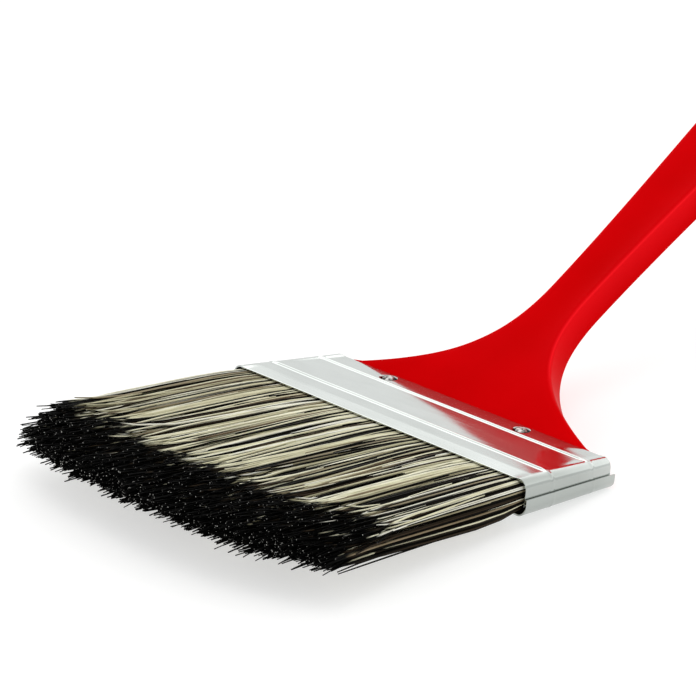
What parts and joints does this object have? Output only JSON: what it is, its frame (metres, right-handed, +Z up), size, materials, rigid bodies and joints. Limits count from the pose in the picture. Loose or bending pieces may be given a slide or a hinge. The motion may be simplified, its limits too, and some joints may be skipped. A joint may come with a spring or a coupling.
{
  "type": "paint brush",
  "caption": "Flat angled paint brush: bristle banks in a beaded tinplate ferrule, nailed to a slim moulded handle that rises from the brush's plane to a hang slot.",
  "frame": {"origin": "centre of the brush's box at the height of the table it lies on, under its rear bead and the ferrule's rear edge", "axes": "+X across the brush towards the lapped end of the ferrule, +Y from the bristle tips to the handle's butt, +Z up"},
  "size_m": [0.0714, 0.1848, 0.0654],
  "materials": {
    "red_plastic": "smooth moulded gloss",
    "tinplate": "bright rolled tinplate",
    "nail_steel": "bright steel",
    "resin": "cured amber resin",
    "spacer_wood": "sawn",
    "bristle": "mixed pale and dark strands with black tips"
  },
  "bodies": {
    "root": {"handle": "red_plastic", "ferrule": "tinplate", "nail_top_left": "nail_steel", "nail_top_right": "nail_steel", "nail_under_left": "nail_steel", "nail_under_right": "nail_steel", "resin_set": "resin", "spacer_strip": "spacer_wood", "bristles_upper": "bristle", "bristles_lower": "bristle"}
  },
  "joints": []
}
